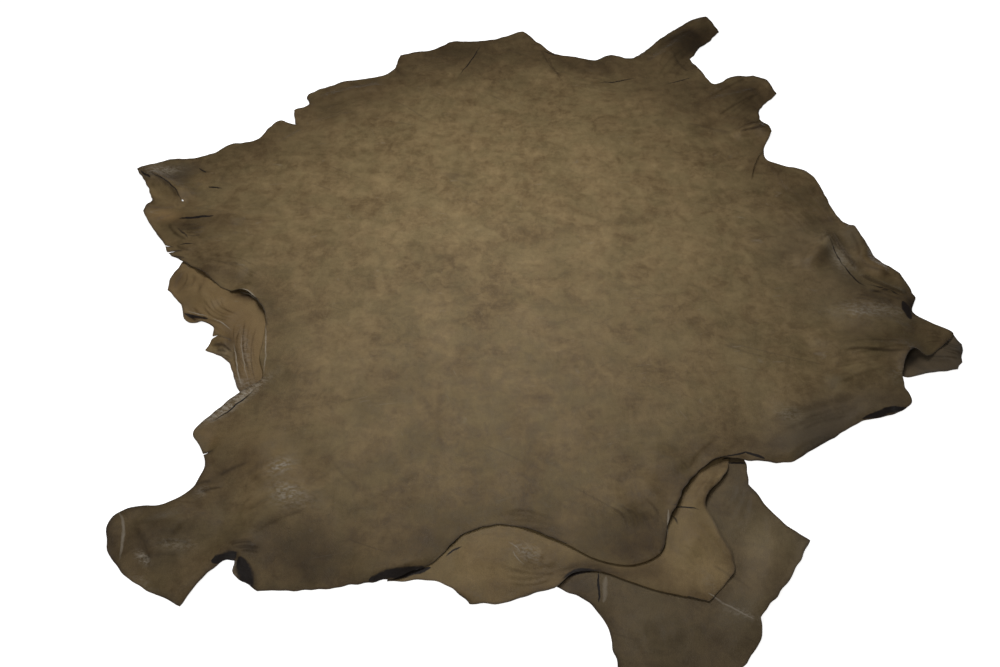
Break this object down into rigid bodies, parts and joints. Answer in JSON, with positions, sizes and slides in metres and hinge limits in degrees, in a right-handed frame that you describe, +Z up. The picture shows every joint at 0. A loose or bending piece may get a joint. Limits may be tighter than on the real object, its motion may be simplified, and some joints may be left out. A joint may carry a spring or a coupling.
{
  "type": "leather hide",
  "caption": "Whole tanned leather hide lying loose on a floor, its near side pleated under itself and one shank rolled under.",
  "frame": {"origin": "on the floor, at the middle of the hide's outline", "axes": "+Z up from the floor, +Y from the pleated near side to the far side, +X to the right"},
  "size_m": [2.382, 2.6407, 0.0335],
  "materials": {
    "hide": "matte pull-up grain, mottled olive brown"
  },
  "bodies": {
    "root": {"hide": "hide"}
  },
  "joints": []
}
